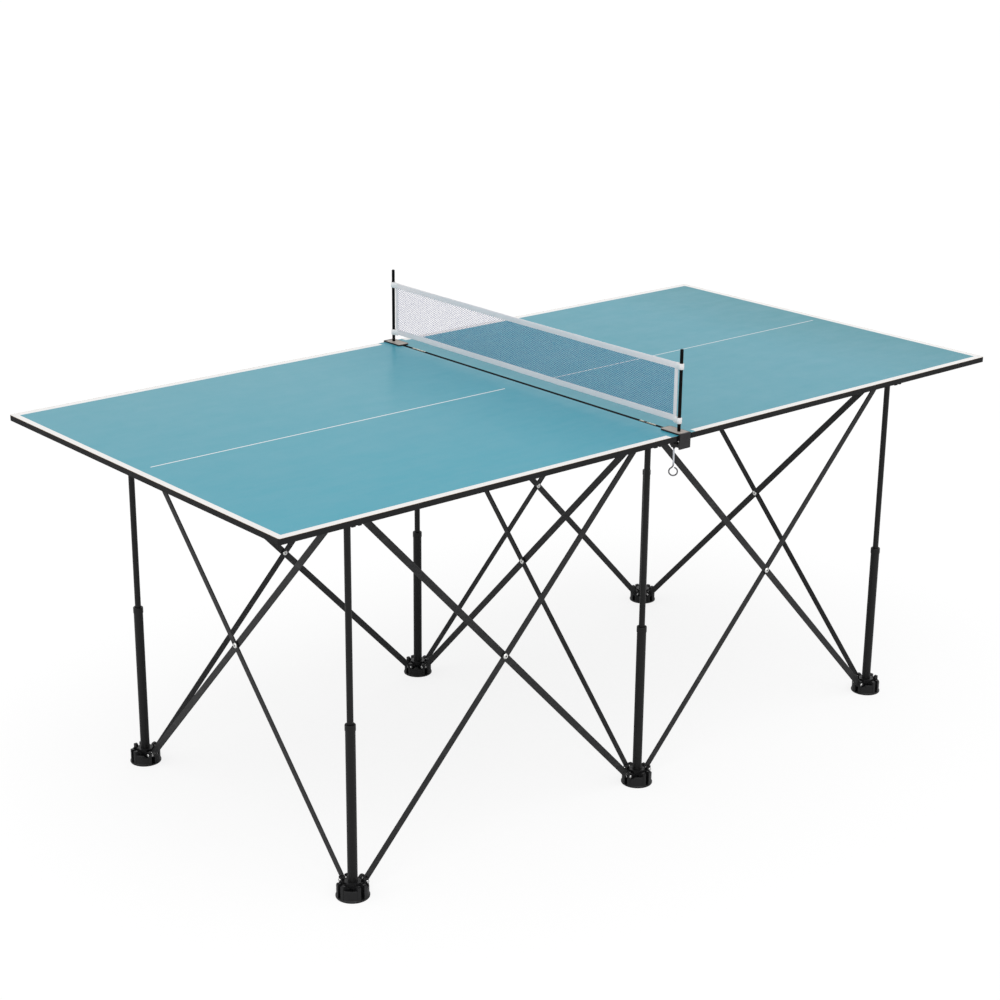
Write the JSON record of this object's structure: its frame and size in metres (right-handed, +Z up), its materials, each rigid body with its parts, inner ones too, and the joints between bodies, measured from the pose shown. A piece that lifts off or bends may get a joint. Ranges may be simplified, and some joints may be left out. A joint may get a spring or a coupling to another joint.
{
  "type": "folding ping pong table",
  "caption": "Portable ping pong table with a teal hinged top on a black pop-up scissor frame with telescoping legs, and a clamp-on net.",
  "frame": {"origin": "on the floor under the middle of the table", "axes": "+X along the length of the table, +Y across it towards the far side, +Z up"},
  "size_m": [1.829, 0.9072, 0.916],
  "materials": {
    "teal_board": "satin",
    "black_band": "satin",
    "black_steel": "satin",
    "bar_steel": "satin",
    "black_plastic": "matte",
    "rivet_metal": "satin",
    "hinge_metal": "satin",
    "net_fabric": "matte",
    "tape_fabric": "matte",
    "screw_metal": "polished",
    "pad_rubber": "matte"
  },
  "bodies": {
    "foot_left_near": {"foot_hub_left_near": "black_plastic", "lower_tube_left_near": "black_steel"},
    "top_left_near": {"top_hub_left_near": "black_plastic", "upper_tube_left_near": "black_steel"},
    "foot_mid_near": {"foot_hub_mid_near": "black_plastic", "lower_tube_mid_near": "black_steel"},
    "top_mid_near": {"top_hub_mid_near": "black_plastic", "upper_tube_mid_near": "black_steel"},
    "foot_right_near": {"foot_hub_right_near": "black_plastic", "lower_tube_right_near": "black_steel"},
    "top_right_near": {"top_hub_right_near": "black_plastic", "upper_tube_right_near": "black_steel"},
    "foot_left_far": {"foot_hub_left_far": "black_plastic", "lower_tube_left_far": "black_steel"},
    "top_left_far": {"top_hub_left_far": "black_plastic", "upper_tube_left_far": "black_steel"},
    "foot_mid_far": {"foot_hub_mid_far": "black_plastic", "lower_tube_mid_far": "black_steel"},
    "top_mid_far": {"top_hub_mid_far": "black_plastic", "upper_tube_mid_far": "black_steel"},
    "foot_right_far": {"foot_hub_right_far": "black_plastic", "lower_tube_right_far": "black_steel"},
    "top_right_far": {"top_hub_right_far": "black_plastic", "upper_tube_right_far": "black_steel"},
    "up_near_left": {"bar_up_near_left": "bar_steel", "rivet_near_left": "rivet_metal"},
    "down_near_left": {"bar_down_near_left": "bar_steel"},
    "up_near_right": {"bar_up_near_right": "bar_steel", "rivet_near_right": "rivet_metal"},
    "down_near_right": {"bar_down_near_right": "bar_steel"},
    "up_far_left": {"bar_up_far_left": "bar_steel", "rivet_far_left": "rivet_metal"},
    "down_far_left": {"bar_down_far_left": "bar_steel"},
    "up_far_right": {"bar_up_far_right": "bar_steel", "rivet_far_right": "rivet_metal"},
    "down_far_right": {"bar_down_far_right": "bar_steel"},
    "up_cross_left": {"bar_up_cross_left": "bar_steel", "rivet_cross_left": "rivet_metal"},
    "down_cross_left": {"bar_down_cross_left": "bar_steel"},
    "up_cross_mid": {"bar_up_cross_mid": "bar_steel", "rivet_cross_mid": "rivet_metal"},
    "down_cross_mid": {"bar_down_cross_mid": "bar_steel"},
    "up_cross_right": {"bar_up_cross_right": "bar_steel", "rivet_cross_right": "rivet_metal"},
    "down_cross_right": {"bar_down_cross_right": "bar_steel"},
    "table_top": {"panel_left": "teal_board", "panel_right": "teal_board", "edge_bands": "black_band", "seam_hinges": "hinge_metal", "net_clamp_near": "black_steel", "net_clamp_far": "black_steel", "net_post_near": "black_steel", "net_post_far": "black_steel"},
    "net": {"net_mesh": "net_fabric", "net_binding": "tape_fabric"},
    "pad_near": {"clamp_pad_near": "pad_rubber"},
    "screw_near": {"eye_screw_near": "screw_metal"},
    "pad_far": {"clamp_pad_far": "pad_rubber"},
    "screw_far": {"eye_screw_far": "screw_metal"}
  },
  "joints": [
    {"name": "frame_fold", "type": "hinge", "parent": "foot_mid_near", "child": "down_near_left", "pos_m": [-0.0265, -0.356, 0.023], "axis": [0, 1, 0], "range_deg": [0, 42]},
    {"name": "top_left_near_turn", "type": "hinge", "parent": "down_near_left", "child": "top_left_near", "pos_m": [-0.6855, -0.356, 0.7207], "axis": [0, 1, 0], "range_deg": [-42, 0]},
    {"name": "up_near_left_turn", "type": "hinge", "parent": "down_near_left", "child": "up_near_left", "pos_m": [-0.356, -0.356, 0.37185], "axis": [0, 1, 0], "range_deg": [-84, 0]},
    {"name": "top_mid_near_turn", "type": "hinge", "parent": "up_near_left", "child": "top_mid_near", "pos_m": [-0.0265, -0.356, 0.7207], "axis": [0, 1, 0], "range_deg": [0, 42]},
    {"name": "foot_left_near_turn", "type": "hinge", "parent": "up_near_left", "child": "foot_left_near", "pos_m": [-0.6855, -0.356, 0.023], "axis": [0, 1, 0], "range_deg": [0, 42]},
    {"name": "up_near_right_turn", "type": "hinge", "parent": "foot_mid_near", "child": "up_near_right", "pos_m": [0.0265, -0.356, 0.023], "axis": [0, 1, 0], "range_deg": [-42, 0]},
    {"name": "top_right_near_turn", "type": "hinge", "parent": "up_near_right", "child": "top_right_near", "pos_m": [0.6855, -0.356, 0.7207], "axis": [0, 1, 0], "range_deg": [0, 42]},
    {"name": "down_near_right_turn", "type": "hinge", "parent": "up_near_right", "child": "down_near_right", "pos_m": [0.356, -0.356, 0.37185], "axis": [0, 1, 0], "range_deg": [0, 84]},
    {"name": "foot_right_near_turn", "type": "hinge", "parent": "down_near_right", "child": "foot_right_near", "pos_m": [0.6855, -0.356, 0.023], "axis": [0, 1, 0], "range_deg": [-42, 0]},
    {"name": "up_cross_mid_turn", "type": "hinge", "parent": "foot_mid_near", "child": "up_cross_mid", "pos_m": [0, -0.3295, 0.023], "axis": [1, 0, 0], "range_deg": [0, 42]},
    {"name": "top_mid_far_turn", "type": "hinge", "parent": "up_cross_mid", "child": "top_mid_far", "pos_m": [0, 0.3295, 0.7207], "axis": [1, 0, 0], "range_deg": [-42, 0]},
    {"name": "down_cross_mid_turn", "type": "hinge", "parent": "up_cross_mid", "child": "down_cross_mid", "pos_m": [0, 0, 0.37185], "axis": [1, 0, 0], "range_deg": [-84, 0]},
    {"name": "foot_mid_far_turn", "type": "hinge", "parent": "down_cross_mid", "child": "foot_mid_far", "pos_m": [0, 0.3295, 0.023], "axis": [1, 0, 0], "range_deg": [0, 42]},
    {"name": "up_cross_left_turn", "type": "hinge", "parent": "foot_left_near", "child": "up_cross_left", "pos_m": [-0.712, -0.3295, 0.023], "axis": [1, 0, 0], "range_deg": [0, 42]},
    {"name": "top_left_far_turn", "type": "hinge", "parent": "up_cross_left", "child": "top_left_far", "pos_m": [-0.712, 0.3295, 0.7207], "axis": [1, 0, 0], "range_deg": [-42, 0]},
    {"name": "down_cross_left_turn", "type": "hinge", "parent": "up_cross_left", "child": "down_cross_left", "pos_m": [-0.712, 0, 0.37185], "axis": [1, 0, 0], "range_deg": [-84, 0]},
    {"name": "foot_left_far_turn", "type": "hinge", "parent": "down_cross_left", "child": "foot_left_far", "pos_m": [-0.712, 0.3295, 0.023], "axis": [1, 0, 0], "range_deg": [0, 42]},
    {"name": "up_cross_right_turn", "type": "hinge", "parent": "foot_right_near", "child": "up_cross_right", "pos_m": [0.712, -0.3295, 0.023], "axis": [1, 0, 0], "range_deg": [0, 42]},
    {"name": "top_right_far_turn", "type": "hinge", "parent": "up_cross_right", "child": "top_right_far", "pos_m": [0.712, 0.3295, 0.7207], "axis": [1, 0, 0], "range_deg": [-42, 0]},
    {"name": "down_cross_right_turn", "type": "hinge", "parent": "up_cross_right", "child": "down_cross_right", "pos_m": [0.712, 0, 0.37185], "axis": [1, 0, 0], "range_deg": [-84, 0]},
    {"name": "foot_right_far_turn", "type": "hinge", "parent": "down_cross_right", "child": "foot_right_far", "pos_m": [0.712, 0.3295, 0.023], "axis": [1, 0, 0], "range_deg": [0, 42]},
    {"name": "down_far_left_turn", "type": "hinge", "parent": "foot_mid_far", "child": "down_far_left", "pos_m": [-0.0265, 0.356, 0.023], "axis": [0, 1, 0], "range_deg": [0, 42]},
    {"name": "up_far_left_turn", "type": "hinge", "parent": "down_far_left", "child": "up_far_left", "pos_m": [-0.356, 0.356, 0.37185], "axis": [0, 1, 0], "range_deg": [-84, 0]},
    {"name": "up_far_right_turn", "type": "hinge", "parent": "foot_mid_far", "child": "up_far_right", "pos_m": [0.0265, 0.356, 0.023], "axis": [0, 1, 0], "range_deg": [-42, 0]},
    {"name": "down_far_right_turn", "type": "hinge", "parent": "up_far_right", "child": "down_far_right", "pos_m": [0.356, 0.356, 0.37185], "axis": [0, 1, 0], "range_deg": [0, 84]},
    {"name": "table_lift", "type": "slide", "parent": "top_mid_near", "child": "table_top", "axis": [0, 0, 1], "range_m": [0, 0.25]},
    {"name": "net_lift", "type": "slide", "parent": "table_top", "child": "net", "axis": [0, 0, 1], "range_m": [0, 0.15]},
    {"name": "near_pad_slide", "type": "slide", "parent": "table_top", "child": "pad_near", "axis": [0, 0, 1], "range_m": [-0.006, 0]},
    {"name": "near_screw_turn", "type": "hinge", "parent": "pad_near", "child": "screw_near", "pos_m": [0, -0.425, 0.728], "axis": [0, 0, 1], "range_deg": [0, 1440]},
    {"name": "far_pad_slide", "type": "slide", "parent": "table_top", "child": "pad_far", "axis": [0, 0, 1], "range_m": [-0.006, 0]},
    {"name": "far_screw_turn", "type": "hinge", "parent": "pad_far", "child": "screw_far", "pos_m": [0, 0.425, 0.728], "axis": [0, 0, 1], "range_deg": [0, 1440]}
  ],
  "couplings": [
    {"joint": "top_left_near_turn", "follows": "frame_fold", "ratio": -1},
    {"joint": "up_near_left_turn", "follows": "frame_fold", "ratio": -2},
    {"joint": "top_mid_near_turn", "follows": "frame_fold", "ratio": 1},
    {"joint": "foot_left_near_turn", "follows": "frame_fold", "ratio": 1},
    {"joint": "up_near_right_turn", "follows": "frame_fold", "ratio": -1},
    {"joint": "top_right_near_turn", "follows": "frame_fold", "ratio": 1},
    {"joint": "down_near_right_turn", "follows": "frame_fold", "ratio": 2},
    {"joint": "foot_right_near_turn", "follows": "frame_fold", "ratio": -1},
    {"joint": "up_cross_mid_turn", "follows": "frame_fold", "ratio": 1},
    {"joint": "top_mid_far_turn", "follows": "frame_fold", "ratio": -1},
    {"joint": "down_cross_mid_turn", "follows": "frame_fold", "ratio": -2},
    {"joint": "foot_mid_far_turn", "follows": "frame_fold", "ratio": 1},
    {"joint": "up_cross_left_turn", "follows": "frame_fold", "ratio": 1},
    {"joint": "top_left_far_turn", "follows": "frame_fold", "ratio": -1},
    {"joint": "down_cross_left_turn", "follows": "frame_fold", "ratio": -2},
    {"joint": "foot_left_far_turn", "follows": "frame_fold", "ratio": 1},
    {"joint": "up_cross_right_turn", "follows": "frame_fold", "ratio": 1},
    {"joint": "top_right_far_turn", "follows": "frame_fold", "ratio": -1},
    {"joint": "down_cross_right_turn", "follows": "frame_fold", "ratio": -2},
    {"joint": "foot_right_far_turn", "follows": "frame_fold", "ratio": 1},
    {"joint": "down_far_left_turn", "follows": "frame_fold", "ratio": 1},
    {"joint": "up_far_left_turn", "follows": "frame_fold", "ratio": -2},
    {"joint": "up_far_right_turn", "follows": "frame_fold", "ratio": -1},
    {"joint": "down_far_right_turn", "follows": "frame_fold", "ratio": 2},
    {"joint": "near_pad_slide", "follows": "near_screw_turn", "m_per_rad": -0.00023873},
    {"joint": "far_pad_slide", "follows": "far_screw_turn", "m_per_rad": -0.00023873}
  ]
}
